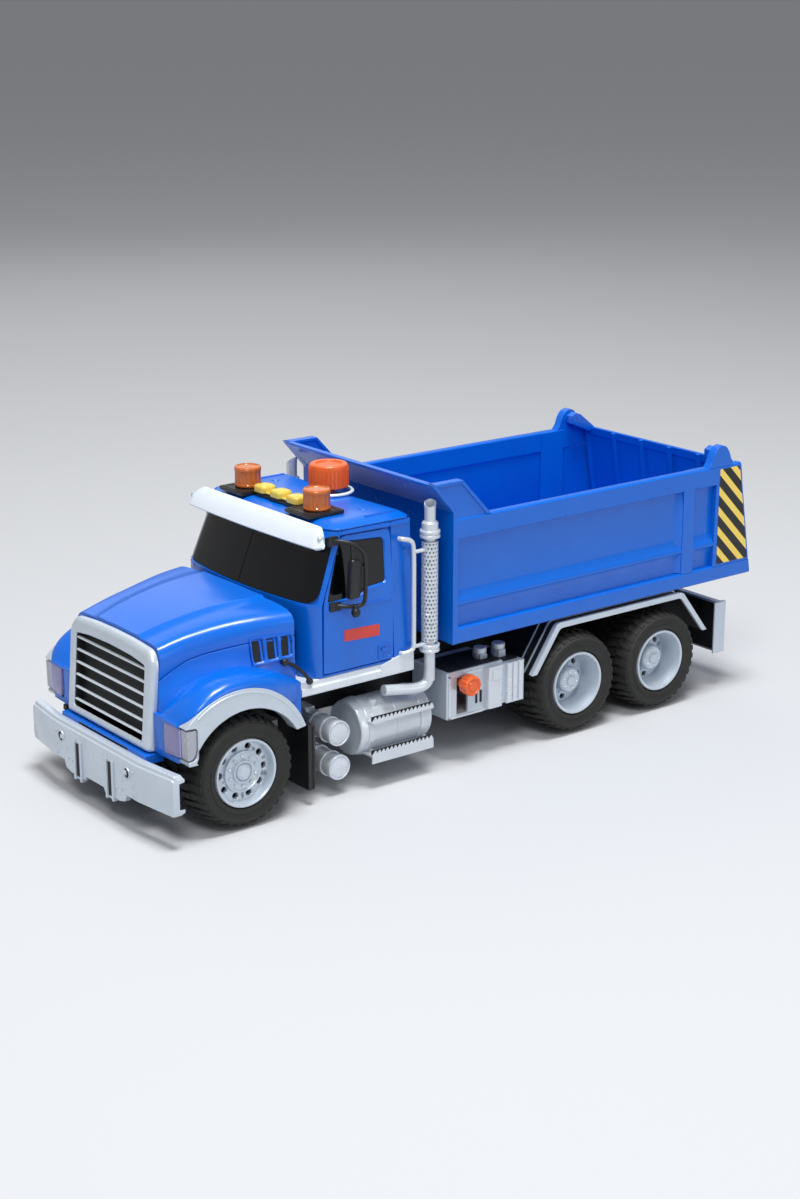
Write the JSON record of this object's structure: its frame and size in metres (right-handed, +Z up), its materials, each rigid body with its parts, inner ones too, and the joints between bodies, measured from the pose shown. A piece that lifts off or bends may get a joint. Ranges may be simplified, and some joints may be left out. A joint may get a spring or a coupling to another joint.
{
  "type": "toy dump truck",
  "caption": "Push-along toy dump truck with a long hood, three wheel sets, a tipping open-topped bed worked by a side lever, a top-hung tailgate and a roof light button.",
  "frame": {"origin": "on the ground under the middle of the truck, on its centre plane", "axes": "+X towards the tailgate, +Y towards the right side as seen from the driver's seat facing the nose, +Z up"},
  "size_m": [0.4, 0.1388, 0.1572],
  "materials": {
    "body_blue": "glossy moulded ABS",
    "trim_silver": "satin silver-grey ABS",
    "trim_white": "satin white ABS",
    "frame_black": "fine matt black ABS",
    "glass_black": "polished black styrene",
    "amber_lens": "clear amber styrene",
    "yellow_lens": "clear yellow styrene",
    "orange": "glossy orange ABS",
    "tyre": "soft black PVC",
    "lamp_lens": "clear styrene",
    "board": "fibreglass board",
    "steel": "zinc plated steel"
  },
  "bodies": {
    "chassis": {"chassis_frame": "frame_black", "battery_cover": "frame_black", "light_bar": "frame_black", "mirror_left": "frame_black", "mirror_right": "frame_black", "battery_pack": "steel", "front_bumper": "trim_silver", "grille_surround": "trim_silver", "grille_bars": "trim_silver", "fender_trim_left": "trim_silver", "fender_trim_right": "trim_silver", "exhaust_stack_left": "trim_silver", "exhaust_stack_right": "trim_silver", "fuel_tank_left": "trim_silver", "fuel_tank_right": "trim_silver", "air_tanks_left": "trim_silver", "air_tanks_right": "trim_silver", "lift_box_left": "trim_silver", "tool_box_right": "trim_silver", "mudguard_left": "trim_silver", "mudguard_right": "trim_silver", "rear_light_bar": "trim_silver", "front_apron": "body_blue", "hood": "body_blue", "cab_shell": "body_blue", "roof_panel": "body_blue", "grille_insert": "glass_black", "cab_glazing": "glass_black", "headlight_left": "lamp_lens", "headlight_right": "lamp_lens", "cab_floor": "trim_white", "sun_visor": "trim_white", "button_collar": "trim_white", "beacon_left": "amber_lens", "beacon_right": "amber_lens", "roof_lamps": "yellow_lens", "light_board": "board"},
    "front_wheels": {"front_axle": "steel", "front_tyre_left": "tyre", "front_tyre_right": "tyre", "front_rim_left": "trim_silver", "front_rim_right": "trim_silver"},
    "middle_wheels": {"middle_axle": "steel", "middle_tyre_left": "tyre", "middle_tyre_right": "tyre", "middle_rim_left": "trim_silver", "middle_rim_right": "trim_silver"},
    "rear_wheels": {"rear_axle": "steel", "rear_tyre_left": "tyre", "rear_tyre_right": "tyre", "rear_rim_left": "trim_silver", "rear_rim_right": "trim_silver"},
    "bed": {"bed_tub": "body_blue", "bed_hinge_pin": "steel"},
    "tailgate": {"tailgate": "body_blue"},
    "lever": {"lift_lever": "orange"},
    "rack": {"lift_rack": "frame_black"},
    "arm": {"lift_arm": "orange"},
    "button": {"light_button": "orange", "button_spring": "steel"}
  },
  "joints": [
    {"name": "front_axle_spin", "type": "hinge", "parent": "chassis", "child": "front_wheels", "pos_m": [-0.1524, 0, 0.0287], "axis": [0, -1, 0], "continuous": true},
    {"name": "middle_axle_spin", "type": "hinge", "parent": "chassis", "child": "middle_wheels", "pos_m": [0.0656, 0, 0.0287], "axis": [0, -1, 0], "continuous": true},
    {"name": "rear_axle_spin", "type": "hinge", "parent": "chassis", "child": "rear_wheels", "pos_m": [0.1285, 0, 0.0287], "axis": [0, -1, 0], "continuous": true},
    {"name": "bed_tip", "type": "hinge", "parent": "chassis", "child": "bed", "pos_m": [0.172, 0, 0.061], "axis": [0, 1, 0], "range_deg": [0, 20]},
    {"name": "tailgate_swing", "type": "hinge", "parent": "bed", "child": "tailgate", "pos_m": [0.1725, 0, 0.1404], "axis": [0, -1, 0], "range_deg": [0, 60]},
    {"name": "lift_lever_press", "type": "hinge", "parent": "chassis", "child": "lever", "pos_m": [0.014, 0, 0.036], "axis": [0, -1, 0], "range_deg": [0, 33.2]},
    {"name": "lift_rack_slide", "type": "slide", "parent": "chassis", "child": "rack", "axis": [-1, 0, 0], "range_m": [0, 0.00523]},
    {"name": "lift_arm_swing", "type": "hinge", "parent": "chassis", "child": "arm", "pos_m": [0.09, 0, 0.055], "axis": [0, 1, 0], "range_deg": [0, 49.8]},
    {"name": "light_button_press", "type": "slide", "parent": "chassis", "child": "button", "axis": [0, 0, -1], "range_m": [0, 0.0025], "stiffness_N_per_m": 300, "deforming": ["button_spring"]}
  ],
  "couplings": [
    {"joint": "lift_lever_press", "follows": "bed_tip", "ratio": 1.65},
    {"joint": "lift_arm_swing", "follows": "bed_tip", "ratio": 2.475},
    {"joint": "lift_rack_slide", "follows": "bed_tip", "m_per_rad": 0.01485}
  ]
}
